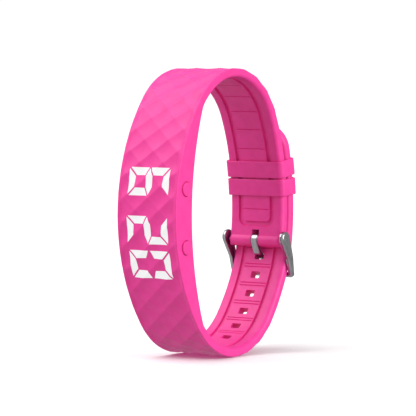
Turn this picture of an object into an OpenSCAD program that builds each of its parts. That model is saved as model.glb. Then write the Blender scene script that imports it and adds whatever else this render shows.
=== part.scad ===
// Fitness tracker band: a one-piece silicone ring with an electronics capsule behind a curved
// face, two side buttons, a spring-bar buckle and two keeper loops, drawn closed.
// Millimetres. +Z is up along the long way of the wrist opening, -Y is the display face,
// +X is the side with the buttons. The origin is the centre of the wrist opening.

/* [Band] */
// Width of the band at the display
band_w = 20; // [19:0.5:21]
// Width of the straps at the back
strap_w = 18.1; // [17.6:0.1:18.4]
// Thickness of the straps
band_t = 2.5; // [2.3:0.1:2.6]
// Gap between the buckle strap and the tail that lies on it
tail_gap = 0.65; // [0.6:0.05:0.8]

/* [Ring profile] */
// Distance from the origin to the middle of the display face
face_y = 29.1; // [28.8:0.1:29.4]
// Radius of the display face
face_r = 50.8; // [50.4:0.1:51.2]
// Angle from the middle of the face to the top bend
face_up = 38.6; // [38.2:0.1:39]
// Angle from the middle of the face to the bottom bend
face_down = 37.4; // [37.2:0.1:37.8]
// Outer radius of the top bend
top_r = 21.75; // [21.5:0.05:22]
// Angle that the top bend turns through
top_sweep = 118.7; // [118.4:0.1:119]
// Outer radius of the bottom bend
bottom_r = 22.4; // [22.2:0.1:22.6]
// Angle that the bottom bend turns through
bottom_sweep = 105.7; // [105.4:0.1:106]
// Outer radius of the buckle strap at the back
back_r = 67.4; // [67:0.1:68]
// Outer radius of the tail below the buckle
tail_r = 60.9; // [60.5:0.1:61.5]
// Radius that blends the tail into the stretch on the buckle strap
blend_r = 35; // [32:1:38]
// How far the tail reaches above the middle of the back, as an angle
tip_angle = 19.8; // [19:0.1:20.2]
// Radius of the skin side behind the display
skin_r = 87.3; // [86:0.1:88]
// Distance from the origin to the middle of the skin side
skin_y = 21.7; // [21.6:0.1:21.9]

/* [Tail holes] */
// Distance between adjustment holes
hole_pitch = 6; // [5.8:0.1:6.2]
// Number of adjustment holes
hole_count = 9; // [8:1:9]
// Width of an adjustment hole across the band
hole_w = 3; // [2.8:0.1:3.2]
// Length of an adjustment hole along the band
hole_l = 2.1; // [2:0.1:2.2]

/* [Buckle] */
// Position of the spring bar, front to back
bar_y = 22.35; // [22.2:0.05:22.4]
// Position of the spring bar, up and down
bar_z = -9; // [-9.1:0.1:-8.9]
// Radius of the silicone sleeve around the spring bar
sleeve_r = 1.8; // [1.7:0.05:1.85]
// Width across the outside of the buckle frame
frame_w = 21.3; // [21.1:0.1:21.5]
// Thickness of a buckle arm
arm_t = 1.25; // [1.2:0.05:1.3]
// Radius of the buckle's crossbar
crossbar_r = 0.8; // [0.75:0.05:0.85]
// Width of the buckle tang
tang_w = 2.1; // [2:0.1:2.2]
// Thickness of the buckle tang
tang_t = 0.9; // [0.8:0.05:0.95]

/* [Keepers] */
// Length of a keeper along the strap
keeper_l = 4.7; // [4.6:0.05:4.8]
// Wall of a keeper
keeper_t = 0.6; // [0.5:0.05:0.7]
// Middle of the upper keeper, as an angle above the middle of the back
keeper_up = 9.5; // [9.4:0.1:9.6]
// Middle of the lower keeper, as an angle above the middle of the back
keeper_low = 4.9; // [4.8:0.1:5]

/* [Buttons] */
// Radius of a button cap
button_r = 1.9; // [1.8:0.05:2]
// How far a button stands out of the side
button_proud = 0.35; // [0.3:0.05:0.4]
// Position of the upper button, up and down
button_up_z = 7.4; // [7.2:0.1:7.6]
// Position of the lower button, up and down
button_low_z = -8.3; // [-8.5:0.1:-8.1]

/* [Display] */
// Height of a digit, across the band
digit_h = 13.6; // [13:0.1:14]
// Width of a digit, along the band
digit_w = 7.6; // [7.2:0.1:7.8]
// Width of one segment
segment_w = 2.1; // [1.9:0.1:2.2]
// Gap between segments
segment_gap = 0.35; // [0.3:0.05:0.4]

/* [Hidden] */
$fn = 64;

pink = [0.93, 0.15, 0.55];
far = 60;       // reaches past the whole object
eps = 0.05;     // clearance between pieces that are assembled together
tube_r = 0.85;  // radius of the spring bar's tube
side_w = frame_w / 2 - arm_t;

// An angle of 0 is the outward direction of the face; positive turns up, negative turns down.
function outward(a) = [-cos(a), sin(a)];
function angle_of(v) = atan2(v[1], -v[0]);
function arc(c, r, a, b, step = 2) =
    let (n = max(1, ceil(abs(b - a) / step)))
    [for (i = [0 : n]) c + r * outward(a + (b - a) * i / n)];
// The centre of a circle of radius r that lies inside two others and touches both.
function touching_centre(p, rp, q, rq, r) =
    let (d = norm(q - p), a = rp - r, b = rq - r, x = (a * a - b * b + d * d) / (2 * d),
         u = (q - p) / d)
    p + x * u - sqrt(a * a - x * x) * [-u[1], u[0]];

face_c = [face_r - face_y, 0];
skin_c = [skin_r - skin_y, 0];
top_c = face_c + (face_r - top_r) * outward(face_up);
back_a = face_up + top_sweep;
back_c = top_c + (top_r - back_r) * outward(back_a);
bottom_c = face_c + (face_r - bottom_r) * outward(-face_down);
under_a = -face_down - bottom_sweep;
tail_c = bottom_c + (bottom_r - tail_r) * outward(under_a);
tail_out_r = back_r + tail_gap + band_t;
blend_c = touching_centre(back_c, tail_out_r, tail_c, tail_r, blend_r);
blend_low = angle_of(blend_c - tail_c);
blend_high = angle_of(blend_c - back_c);
tip_a = -180 - tip_angle;
strap_end_a = 186;              // where the buckle strap runs into the sleeve
skin_half = 19;                 // the skin side is one arc over this angle each way

// The tail's outer face from its tip to the display, as arcs of centre, radius and two angles.
TAIL = [[back_c, tail_out_r, tip_a, blend_high], [blend_c, blend_r, blend_high, blend_low],
    [tail_c, tail_r, blend_low, under_a], [bottom_c, bottom_r, under_a, -face_down]];
function arc_length(g) = g[1] * abs(g[3] - g[2]) * PI / 180;
// The arc and the angle at a distance s along a chain of arcs.
function along(chain, s, i = 0) =
    let (g = chain[i], l = arc_length(g))
    s <= l || i == len(chain) - 1
        ? [g[0], g[1], g[2] + sign(g[3] - g[2]) * s / g[1] * 180 / PI]
        : along(chain, s - l, i + 1);

// 2D outlines are drawn as (Y, Z) and stand across the band.
module across(w) rotate([90, 0, 90]) translate([0, 0, -w / 2]) linear_extrude(w) children();
// A part drawn with its outer side at -Y on the origin is carried to angle a of an arc.
module on_arc(c, r, a) translate([0, c[0], c[1]]) rotate([-a, 0, 0]) translate([0, -r, 0]) children();
module disc(c, r, w, fn = 180) across(w) translate(c) circle(r, $fn = fn);
// A curved plate between two radii about c, w wide, from angle a to angle b.
module shell(c, r_in, r_out, w, a, b) across(w)
    polygon(concat(arc(c, r_out, a, b, 1), arc(c, r_in, b, a, 1)));
module rod_x(r, x0, x1) translate([x0, 0, 0]) rotate([0, 90, 0]) cylinder(r = r, h = x1 - x0);
module at_bar() translate([0, bar_y, bar_z]) children();
module block(x, y, z) translate([x[0], y[0], z[0]]) cube([x[1] - x[0], y[1] - y[0], z[1] - z[0]]);

// ---- silicone band ----
module ring_outline() polygon(concat(
    arc(back_c, back_r, strap_end_a, back_a),
    arc(top_c, top_r, back_a, face_up),
    arc(face_c, face_r, face_up, -face_down),
    arc(bottom_c, bottom_r, -face_down, under_a),
    arc(tail_c, tail_r, under_a, blend_low),
    arc(blend_c, blend_r, blend_low, blend_high),
    arc(back_c, tail_out_r, blend_high, tip_a),
    arc(back_c, tail_out_r - band_t, tip_a, blend_high),
    arc(blend_c, blend_r - band_t, blend_high, blend_low),
    arc(tail_c, tail_r - band_t, blend_low, under_a),
    arc(bottom_c, bottom_r - band_t, under_a, -face_down),
    arc(skin_c, skin_r, -skin_half, skin_half),
    arc(top_c, top_r - band_t, face_up, back_a),
    arc(back_c, back_r - band_t, back_a, strap_end_a)));

// Seen along Z: full width at the display, narrower at the back.
taper_y = [-12, 21.5];
module plan() translate([0, 0, -far]) linear_extrude(2 * far) polygon([
    [-band_w / 2, -far], [band_w / 2, -far], [band_w / 2, taper_y[0]], [strap_w / 2, taper_y[1]],
    [strap_w / 2, far], [-strap_w / 2, far], [-strap_w / 2, taper_y[1]], [-band_w / 2, taper_y[0]]]);

// The sleeve for the spring bar, joined to the strap by a short web.
notch_w = tang_w + 0.3;
web_t = 2.2;
module sleeve() intersection() {
    union() {
        disc([bar_y, bar_z], sleeve_r, strap_w, 64);
        shell(back_c, back_r - band_t, back_r - band_t + web_t, strap_w, strap_end_a - 1,
            strap_end_a + 2);
    }
    plan();
}

// Adjustment holes, counted from the one that the tang goes through.
tang_hole_s = 39.3;             // distance of that hole from the tail's tip
holes_above = 3;                // holes between it and the tip
module tail_hole(s) {
    g = along(TAIL, s);
    on_arc(g[0], g[1], g[2])
        block([-hole_w / 2, hole_w / 2], [-1, band_t + tail_gap / 2], [-hole_l / 2, hole_l / 2]);
}

tip_corner_r = 7;
tip_z = back_c[1] + tail_out_r * sin(tip_angle);
module tip_corners() difference() {
    for (side = [-1, 1]) difference() {
        block([side > 0 ? strap_w / 2 - tip_corner_r : -far, side > 0 ? far : tip_corner_r - strap_w / 2],
            [14, far], [tip_z - tip_corner_r, tip_z + 2]);
        translate([side * (strap_w / 2 - tip_corner_r), 0, tip_z - tip_corner_r])
            rotate([-90, 0, 0]) cylinder(r = tip_corner_r, h = far);
    }
    disc(back_c, back_r + tail_gap / 2, 3 * far);
}

// ---- electronics capsule ----
face_skin = 1.1;                // silicone in front of the capsule
case_w = 15.7;
case_wall = 0.7;
case_half = 15.6;               // half angle of the capsule about the skin side's centre
cover_t = 0.8;
cover_w = 16.8;
cover_half = 16;                // half angle of the cover about the same centre
case_r = face_r - face_skin;
mask_t = 1;
mask_w = 14.2;
mask_half = 21.2;
board_t = 0.4;
board_w = 14;
mask_r = case_r - case_wall - 2 * eps;
board_r = mask_r - mask_t - eps;
rim_r = skin_r + cover_t;
seal_t = 0.3;
end_gap = 0.05;                 // clearance at the capsule's ends, as an angle
end_wall = 0.5;                 // the capsule's end wall, as an angle

module capsule(w, half, r_front, r_back) intersection() {
    disc(face_c, r_front, w);
    shell(skin_c, r_back, skin_r + 12, w + 2, -half, half);
}

stem_y = -24.3;                 // the stems run behind the circuit board
flange_x = 8.6;
flange_t = 0.4;
flange_h = 2.35;                // half height of the flange
flange_y = [-25.7, -22.95];     // the flange keeps a button from falling out
module button_space(z) translate([0, 0, z]) {
    translate([0, stem_y, 0]) rod_x(button_r + 0.08, flange_x, far);
    block([flange_x - 0.5, flange_x + flange_t + 0.1], [flange_y[0] - 0.1, flange_y[1] + 0.1],
        [-flange_h - 0.15, flange_h + 0.15]);
    block([7.7, 8.2], [stem_y - 0.7, stem_y + 0.7], [-0.7, 0.7]);
}

module band() color(pink) difference() {
    union() {
        intersection() {
            across(band_w) ring_outline();
            plan();
        }
        sleeve();
    }
    tip_corners();
    for (i = [0 : hole_count - 1]) tail_hole(tang_hole_s + (i - holes_above) * hole_pitch);
    at_bar() rod_x(tube_r + eps, -far, far);
    disc([bar_y, bar_z], sleeve_r + 0.9, notch_w, 64);
    capsule(case_w + 2 * eps, case_half + end_gap, case_r + eps, skin_r - 1);
    shell(skin_c, skin_r - 1, rim_r + eps, cover_w + 2 * eps, -cover_half - end_gap,
        cover_half + end_gap);
    for (z = [button_up_z, button_low_z]) button_space(z);
    digits(0.02, face_r - inlay_t - 0.02, face_r + 1);
}

// ---- display ----
inlay_t = 0.5;
// Segments a to g of each digit from the top of the band down: 6, 2 and 0.
LIT = [[1, 0, 1, 1, 1, 1, 1], [1, 1, 0, 1, 1, 0, 1], [1, 1, 1, 1, 1, 1, 0]];
DIGIT_Z = [9.4, -3.7, -13.1];
// A digit lies on its side: its top is towards +X and its right is down.
module end_segment() {
    h = digit_w / 2 - segment_gap;
    polygon([[-h, 0], [h, 0], [h - segment_w, segment_w], [-h + segment_w, segment_w]]);
}
module middle_segment() {
    h = digit_w / 2 - segment_gap * 0.6;
    w = segment_w / 2;
    k = h - segment_w;
    polygon([[-h, 0], [-k, w], [k, w], [h, 0], [k, -w], [-k, -w]]);
}
// The (X, Z) outlines of the lit segments of one digit.
module digit(lit) {
    q = digit_h / 4;
    if (lit[0]) translate([digit_h / 2, 0]) rotate(90) end_segment();
    if (lit[3]) translate([-digit_h / 2, 0]) rotate(-90) end_segment();
    if (lit[6]) rotate(90) middle_segment();
    if (lit[1]) translate([q, -digit_w / 2]) segment_half(1);
    if (lit[2]) translate([-q, -digit_w / 2]) segment_half(-1);
    if (lit[4]) translate([-q, digit_w / 2]) mirror([0, 1]) segment_half(-1);
    if (lit[5]) translate([q, digit_w / 2]) mirror([0, 1]) segment_half(1);
}
// A side segment: mitred at the digit's corner, lightly cut at its middle.
module segment_half(side) {
    h = digit_h / 4;
    w = segment_w;
    g = segment_gap;
    polygon([[side * (h - g), 0], [side * (h - g - w), w], [side * (g - h + w / 2), w],
        [side * (g - h), 0]]);
}
module digits(grow, r_in, r_out) intersection() {
    for (i = [0 : 2]) translate([0, -far, DIGIT_Z[i]]) rotate([90, 0, 0]) mirror([0, 0, 1])
        linear_extrude(far) digit(LIT[i]);
    shell(face_c, r_in, r_out, band_w - 2, -face_down + 4, face_up - 4);
}
module display_segments() color("white") digits(0, face_r - inlay_t, face_r + 0.02);

// ---- keepers ----
keeper_gap = 0.12;                // clearance to the strap inside and at the sides
keeper_slack = 0.5;               // clearance to the tail outside
keeper_corner = 1.5;              // outer corners
keeper_bore_corner = 0.25;        // inner corners, small enough to clear the strap's edges
keeper_half = keeper_l / 2 / (back_r - band_t) * 180 / PI;
keeper_w = strap_w + 2 * keeper_gap + 2 * keeper_t;
module keeper_section() {
    low = back_r - band_t - keeper_gap;
    high = tail_out_r + keeper_slack;
    h = strap_w / 2 + keeper_gap;
    difference() {
        rounded([low - keeper_t, high + keeper_t], h + keeper_t, keeper_corner);
        rounded([low, high], h, keeper_bore_corner);
    }
}
// A rectangle with round corners, from radius span[0] to span[1] and h each side of the middle.
module rounded(span, h, r) {
    for (x = [span[0] + r, span[1] - r], y = [r - h, h - r]) translate([x, y]) circle(r, $fn = 32);
    translate([span[0] + r, -h]) square([span[1] - span[0] - 2 * r, 2 * h]);
    translate([span[0], r - h]) square([span[1] - span[0], 2 * h - 2 * r]);
}
module keeper(a) color(pink) translate([0, back_c[0], back_c[1]]) rotate([a - keeper_half, 0, 0])
    rotate([90, 0, 90]) rotate_extrude(angle = 2 * keeper_half, $fn = 360) keeper_section();

module keeper_upper() keeper(keeper_up);
module keeper_lower() keeper(keeper_low);

// ---- buckle ----
crossbar_yz = [25.2, -18.6];
arm_head = [bar_y - 0.7, bar_z + 0.7];
arm_head_r = 2.1;
arm_back = [24.1, -13.7];
arm_back_r = 1.25;
arm_foot = [25.05, -18.4];
arm_foot_r = 0.85;
module arm_outline() {
    hull() {
        translate(arm_head) circle(arm_head_r, $fn = 64);
        translate(arm_back) circle(arm_back_r, $fn = 48);
    }
    hull() {
        translate(arm_back) circle(arm_back_r, $fn = 48);
        translate(arm_foot) circle(arm_foot_r, $fn = 48);
    }
}
pin_r = 0.5;
pin_reach = side_w + 0.75;
module buckle_frame() color("silver") {
    for (side = [-1, 1]) difference() {
        translate([side * (side_w + arm_t / 2), 0, 0]) across(arm_t) arm_outline();
        at_bar() rod_x(pin_r + eps, -pin_reach, pin_reach);
    }
    translate([0, crossbar_yz[0], crossbar_yz[1]]) rod_x(crossbar_r, -side_w, side_w);
}

// The tang wraps the bar, runs down to the tail, passes through a hole and rests on the crossbar.
tang_bore = tube_r + 0.06;
tang_loop_r = 1.95;
knee = [bar_y + 0.05, bar_z - 3.7];
shoulder = [bar_y + 3.65, bar_z - 5.55];
tip = [crossbar_yz[0] + 1.3, crossbar_yz[1] - 0.2];
module link(a, b) hull() {
    translate(a) circle(tang_t / 2, $fn = 32);
    translate(b) circle(tang_t / 2, $fn = 32);
}
tang_top = [bar_y - tang_loop_r + tang_t / 2 + 0.1, bar_z - 0.4];
module buckle_tang() color("gainsboro") across(tang_w) difference() {
    union() {
        translate([bar_y, bar_z]) circle(tang_loop_r, $fn = 64);
        link(tang_top, knee);
        link(knee, shoulder);
        link(shoulder, tip);
    }
    translate([bar_y, bar_z]) circle(tang_bore, $fn = 64);
}

// The spring bar: a tube with two sprung pins.
tube_half = 8.6;
pin_root = 6.9;                 // inner end of a pin's head inside the tube
head_l = 1.2;
tube_bore = 0.65;
spring_wire = 0.11;
module spring_bar_tube() color("silver") at_bar() difference() {
    rod_x(tube_r, -tube_half, tube_half);
    rod_x(tube_bore, 0.5 - tube_half, tube_half - 0.5);
    rod_x(pin_r + eps, -far, far);
}
module pin(side) color("silver") at_bar() mirror([side < 0 ? 1 : 0, 0, 0]) {
    rod_x(pin_r, pin_root, pin_reach - 0.05);
    rod_x(tube_bore - eps, pin_root - head_l + 0.5, pin_root + 0.5);
}
module spring_bar_spring() color("gray") at_bar() {
    turns = 12;
    reach = pin_root - head_l + 0.5 - spring_wire - 0.02;
    for (i = [0 : turns]) translate([-reach + 2 * reach * i / turns, 0, 0]) rotate([0, 90, 0])
        rotate_extrude($fn = 32) translate([tube_bore - 2 * eps - spring_wire, 0])
            circle(spring_wire, $fn = 16);
}

// ---- buttons and switches ----
module button(z) color(pink) translate([0, 0, z]) {
    translate([0, stem_y, 0]) {
        rod_x(button_r, flange_x + flange_t - 0.02, band_w / 2 + button_proud);
        rod_x(0.45, 6.75, flange_x + 0.1);
    }
    block([flange_x, flange_x + flange_t], flange_y, [-flange_h, flange_h]);
}
plunger_r = 0.4;
module plunger(z) color("black") translate([0, stem_y, z]) rod_x(plunger_r, 6.0, 6.72);
module switch(z) color("dimgray") translate([0, 0, z]) difference() {
    block([4.8, 6.35], [-24.65, -23.45], [-1.4, 1.4]);
    translate([0, stem_y, 0]) rod_x(plunger_r + eps, 5.5, 7);
}

// ---- capsule parts ----
post_a = 14.2;                  // angle of the screws about the skin side's centre
post_x = 5.4;
post_r = 1.3;
screw_r = 0.6;
screw_head_r = 1.05;
module at_screws(r) for (x = [-post_x, post_x], a = [-post_a, post_a])
    on_arc(skin_c, r, a) translate([x, 0, 0]) rotate([90, 0, 0]) children();
module case_front() color("white") difference() {
    union() {
        difference() {
            capsule(case_w, case_half, case_r, rim_r + seal_t);
            capsule(case_w - 2 * case_wall, case_half - end_wall, case_r - case_wall, skin_r);
        }
        intersection() {
            at_screws(rim_r + seal_t) cylinder(r = post_r, h = 5);
            capsule(case_w, case_half, case_r - case_wall / 2, rim_r + seal_t);
        }
    }
    at_screws(rim_r) cylinder(r = screw_r + eps, h = 2.2);
    for (z = [button_up_z, button_low_z]) translate([0, stem_y, z]) rod_x(0.6, 6, 9);
}
module rear_cover() color("dimgray") difference() {
    shell(skin_c, skin_r, rim_r, cover_w, -cover_half, cover_half);
    at_screws(skin_r - 1) cylinder(r = screw_r + eps, h = 3);
    at_screws(skin_r - 1) cylinder(r = screw_head_r + eps, h = 1.45);
}
module cover_seal() color("black") difference() {
    shell(skin_c, rim_r + 0.01, rim_r + seal_t - 0.01, case_w - 0.1, 0.1 - case_half,
        case_half - 0.1);
    shell(skin_c, rim_r - 1, rim_r + 1, case_w - 2 * case_wall + 0.1, end_wall - case_half,
        case_half - end_wall);
}
module cover_screws() color("silver") at_screws(skin_r + eps) {
    cylinder(r = screw_head_r, h = 0.4);
    cylinder(r = screw_r, h = 2.6);
}

// The light mask has a window for every segment, lit or not, and two dots between the pairs.
ALL_ON = [1, 1, 1, 1, 1, 1, 1];
ONE = [0, 1, 1, 0, 0, 0, 0];
first_digit_z = 18.8;
colon_z = 2.85;
colon_x = 2.6;
dot = 1.2;
MASK_DIGITS = [[first_digit_z, ONE], for (z = DIGIT_Z) [z, ALL_ON]];
module light_mask() color("black") difference() {
    shell(face_c, mask_r - mask_t, mask_r, mask_w, -mask_half, mask_half);
    for (d = MASK_DIGITS) translate([0, -20, d[0]]) rotate([90, 0, 0]) mirror([0, 0, 1])
        translate([0, 0, -20]) linear_extrude(20) digit(d[1]);
    for (x = [-colon_x, colon_x])
        block([x - dot / 2, x + dot / 2], [-40, -20], [colon_z - dot / 2, colon_z + dot / 2]);
}
module circuit_board() color("darkgreen")
    shell(face_c, board_r - board_t, board_r, board_w, -mask_half - 0.3, mask_half + 0.3);

// Chips lie flat against the board, each at an angle about the face's centre.
led_size = [1.1, 0.3, 0.8];
module chip(x, a, r, size) on_arc(face_c, r, a)
    block([x - size[0] / 2, x + size[0] / 2], [0, size[1]], [-size[2] / 2, size[2] / 2]);
function angle_at(z) = asin(z / board_r);
module leds_of(z, lit) {
    end_x = (digit_h - segment_w) / 2;
    side_z = (digit_w - segment_w) / 2;
    // One chip behind each segment, in the order a to g.
    spots = [[end_x, 0], [digit_h / 4, -side_z], [-digit_h / 4, -side_z], [-end_x, 0],
        [-digit_h / 4, side_z], [digit_h / 4, side_z], [0, 0]];
    for (i = [0 : 6]) if (lit[i])
        chip(spots[i][0], angle_at(z + spots[i][1]), board_r + led_size[1] + 0.02, led_size);
}
module display_leds() color("ivory") {
    for (d = MASK_DIGITS) leds_of(d[0], d[1]);
    for (x = [-colon_x, colon_x])
        chip(x, angle_at(colon_z), board_r + led_size[1] + 0.02, [0.8, led_size[1], 0.8]);
}
back_of_board = board_r - board_t - 0.1;
module microcontroller() color("black") chip(-1, 15.5, back_of_board, [5, 0.8, 5]);
module motion_sensor() color("black") chip(0, -15.5, back_of_board, [2.5, 0.9, 3]);
module clock_crystal() color("silver") chip(4, 15.5, back_of_board, [1.5, 0.7, 3.2]);

// Coin cell of 12.5 x 2 mm between two contacts.
cell_r = 6.25;
cell_z = -0.45;
cell_y = [-24.95, -22.95];
cell_step = 0.3;                // the negative cup is this much smaller and shorter
module coin_cell() color("silver") translate([0, cell_y[0], cell_z]) rotate([-90, 0, 0]) {
    cylinder(r = cell_r, h = cell_y[1] - cell_y[0] - cell_step, $fn = 96);
    cylinder(r = cell_r - 2 * cell_step, h = cell_y[1] - cell_y[0], $fn = 96);
}
contact_t = 0.15;
module contact_positive() color("gold")
    block([-2, 2], [cell_y[0] - eps - contact_t, cell_y[0] - eps], [-6, 6]);
module contact_negative() color("gold")
    block([-1.5, 1.5], [cell_y[1] + eps, cell_y[1] + eps + contact_t], [-7, 5]);

band();
keeper_upper();
keeper_lower();
buckle_frame();
buckle_tang();
spring_bar_tube();
pin(-1);  // spring_bar_pin_left
pin(1);  // spring_bar_pin_right
spring_bar_spring();
button(button_up_z);  // button_upper
button(button_low_z);  // button_lower
display_segments();
case_front();
rear_cover();
cover_seal();
cover_screws();
light_mask();
circuit_board();
display_leds();
microcontroller();
motion_sensor();
clock_crystal();
coin_cell();
contact_positive();
contact_negative();
switch(button_up_z);  // switch_upper
switch(button_low_z);  // switch_lower
plunger(button_up_z);  // plunger_upper
plunger(button_low_z);  // plunger_lower
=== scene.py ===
"""Looks of the fitness tracker band: silicone ring, keepers, steel buckle, buttons and lit digits."""

import math

import bmesh
import bpy
import numpy as np
from mathutils import Matrix, Vector


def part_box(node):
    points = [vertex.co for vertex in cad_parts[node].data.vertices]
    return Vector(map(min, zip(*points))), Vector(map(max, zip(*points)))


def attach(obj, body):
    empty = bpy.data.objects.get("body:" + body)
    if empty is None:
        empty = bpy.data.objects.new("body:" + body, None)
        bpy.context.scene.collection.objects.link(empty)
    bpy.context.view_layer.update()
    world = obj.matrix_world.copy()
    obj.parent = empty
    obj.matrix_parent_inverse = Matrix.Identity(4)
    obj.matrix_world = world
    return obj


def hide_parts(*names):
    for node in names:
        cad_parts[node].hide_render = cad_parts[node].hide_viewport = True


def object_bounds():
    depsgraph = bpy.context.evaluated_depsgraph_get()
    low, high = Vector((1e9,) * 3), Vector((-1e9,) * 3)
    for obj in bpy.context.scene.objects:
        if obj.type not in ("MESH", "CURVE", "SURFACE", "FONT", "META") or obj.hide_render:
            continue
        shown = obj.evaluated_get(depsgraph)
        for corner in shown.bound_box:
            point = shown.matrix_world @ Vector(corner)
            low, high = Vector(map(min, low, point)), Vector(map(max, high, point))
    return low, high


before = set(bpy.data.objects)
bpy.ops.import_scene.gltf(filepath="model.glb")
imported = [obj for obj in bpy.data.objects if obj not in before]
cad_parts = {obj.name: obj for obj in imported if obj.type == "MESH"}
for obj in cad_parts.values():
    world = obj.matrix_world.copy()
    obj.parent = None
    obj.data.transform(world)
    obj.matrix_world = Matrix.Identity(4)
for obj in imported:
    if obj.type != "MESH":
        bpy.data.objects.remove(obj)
cad_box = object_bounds()

MM = 0.001                      # lengths below are in millimetres unless a comment says otherwise

# ---- ring profile, as the CAD draws it: arcs in (Y, Z) of the outer face, sweeps in degrees ----
BAND_T = 2.5                    # strap thickness
TAIL_GAP = 0.65                 # between the buckle strap and the tail that lies over it
FACE_Y, FACE_R, FACE_UP, FACE_DOWN = 29.1, 50.8, 38.6, 37.4
TOP_R, TOP_SWEEP = 21.75, 118.7
BOTTOM_R, BOTTOM_SWEEP = 22.4, 105.7
BACK_R, TAIL_R, BLEND_R = 67.4, 60.9, 35.0
TIP_ANGLE = 19.8                # where the tail ends, above the middle of the back arc
SKIN_Y, SKIN_R = 21.7, 87.3     # the side of the display that lies on the wrist
HALF_FACE, HALF_STRAP = 10.0, 9.05
TAPER_Y = (-12.0, 21.5)         # where the width goes from the face's to the strap's
BAR = np.array([22.35, -9.0])   # the spring bar's axis
SLEEVE_R = 1.8
TIP_CORNER = 7.0

# ---- tail holes and the sleeve's notch ----
HOLE_PITCH, HOLE_COUNT, HOLES_ABOVE, TANG_HOLE_S = 6.0, 9, 3, 39.3
HOLE_HALF_L, HOLE_ROUND = 1.05, 0.5
ROUND_CUT = 0.146               # how far a round corner's middle lies inside the sharp corner
NOTCH_L = 3.0                   # from the bar's axis to the notch's end

# ---- case pocket and cover recess, with half angles in degrees ----
COVER_T, COVER_HALF_W, COVER_HALF_A = 0.85, 8.45, 16.05
CASE_DEPTH, CASE_HALF_W, CASE_HALF_A = 1.05, 7.9, 15.65

# ---- quilted face: a lattice of diamonds, half width by half height ----
DIAMOND_X, DIAMOND_V, DIAMOND_V0 = 4.0, 3.25, -1.55
CELLS = 13                      # grid steps along half a diamond
STEP_X, STEP_V = DIAMOND_X / CELLS, DIAMOND_V / CELLS
QUILT_DEPTH = 0.5
FALLING, RISING = 0.68, 0.32    # shares of the two directions in which the diamonds are hollow
EDGE_FADE = (8.7, 9.7)          # across, the hollows grow shallow between these
EDGE_SHARE = 0.15               # the share of their depth that is left at the edge

# ---- digits and buttons ----
DIGIT_H, DIGIT_W, SEGMENT_W, SEGMENT_GAP = 13.6, 7.6, 2.1, 0.35
LIT = (("acdefg", 9.4), ("abdeg", -3.7), ("abcdef", -13.1))     # lit segments and height of a digit
LIT_RISE, LIT_SINK = 0.035, -0.3            # the segments' two sides, measured out of the face
BUTTON_Y, BUTTON_Z = -24.3, (7.4, -8.3)
BUTTON_R = 1.9


# ---- the ring's chain of arcs ----
def outward(a):
    """Unit direction in (Y, Z): 0 degrees leaves the face, positive turns up."""
    a = np.radians(a)
    return np.stack([-np.cos(a), np.sin(a)], -1)


def angle_of(v):
    """Angle of a direction, from -180 to 180 degrees."""
    return math.degrees(math.atan2(v[1], -v[0]))


def angle_below(v):
    """Angle of a direction, from -360 to 0 degrees."""
    return angle_of(v) - (360 if angle_of(v) > 0 else 0)


def touching_centre(p, rp, q, rq, r):
    """Centre of a circle of radius r that lies inside two others and touches both."""
    d = np.linalg.norm(q - p)
    a, b = rp - r, rq - r
    x = (a * a - b * b + d * d) / (2 * d)
    u = (q - p) / d
    return p + x * u - math.sqrt(a * a - x * x) * np.array([-u[1], u[0]])


face_c = np.array([FACE_R - FACE_Y, 0.0])
skin_c = np.array([SKIN_R - SKIN_Y, 0.0])
top_c = face_c + (FACE_R - TOP_R) * outward(FACE_UP)
back_a = FACE_UP + TOP_SWEEP
back_c = top_c + (TOP_R - BACK_R) * outward(back_a)
bottom_c = face_c + (FACE_R - BOTTOM_R) * outward(-FACE_DOWN)
under_a = -FACE_DOWN - BOTTOM_SWEEP
tail_c = bottom_c + (BOTTOM_R - TAIL_R) * outward(under_a)
tail_out_r = BACK_R + TAIL_GAP + BAND_T
blend_c = touching_centre(back_c, tail_out_r, tail_c, TAIL_R, BLEND_R)
blend_low = angle_below(blend_c - tail_c)
blend_high = angle_below(blend_c - back_c)
bar_a = 180 + math.degrees(math.atan2(back_c[1] - BAR[1], BAR[0] - back_c[0]))
mid_r = BACK_R - BAND_T / 2
end_a = bar_a + math.degrees(SLEEVE_R / mid_r)

# Outer face from the sleeve round the ring to the tail's tip: centre, radius, first and last angle.
CHAIN = [
    (back_c, BACK_R, end_a, back_a),
    (top_c, TOP_R, back_a, FACE_UP),
    (face_c, FACE_R, FACE_UP, -FACE_DOWN),
    (bottom_c, BOTTOM_R, -FACE_DOWN, under_a),
    (tail_c, TAIL_R, under_a, blend_low),
    (blend_c, BLEND_R, blend_low, blend_high),
    (back_c, tail_out_r, blend_high, -180 - TIP_ANGLE),
]
FACE_ARC = 2
LENGTHS = [r * math.radians(abs(b - a)) for _, r, a, b in CHAIN]
STARTS = np.concatenate([[0], np.cumsum(LENGTHS)])
TOP_S, FACE_S, BOTTOM_S, TAIL_S = STARTS[1:5]   # where the arcs after the first one start
TOTAL = STARTS[-1]
FACE_MID_S = FACE_S + FACE_R * math.radians(FACE_UP)
SLEEVE_S = SLEEVE_R * BACK_R / mid_r            # the bar's distance from the strap's end
NOTCH_S = SLEEVE_S + NOTCH_L


def along(s):
    """For distances s: the outer point, the outward direction, the arc's index and the angle."""
    s = np.atleast_1d(s)
    i = np.clip(np.searchsorted(STARTS, s, side="right") - 1, 0, len(CHAIN) - 1)
    c = np.array([g[0] for g in CHAIN])[i]
    r = np.array([g[1] for g in CHAIN])[i]
    a0 = np.array([g[2] for g in CHAIN])[i]
    a = a0 - (s - STARTS[i]) / r * 180 / np.pi
    n = outward(a)
    return c + r[:, None] * n, n, i, a


def smooth_min(a, b, k):
    return -k * np.log(np.exp(-a / k) + np.exp(-b / k))


def smoothstep(x, low, high):
    t = np.clip((x - low) / (high - low), 0, 1)
    return t * t * (3 - 2 * t)


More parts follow.
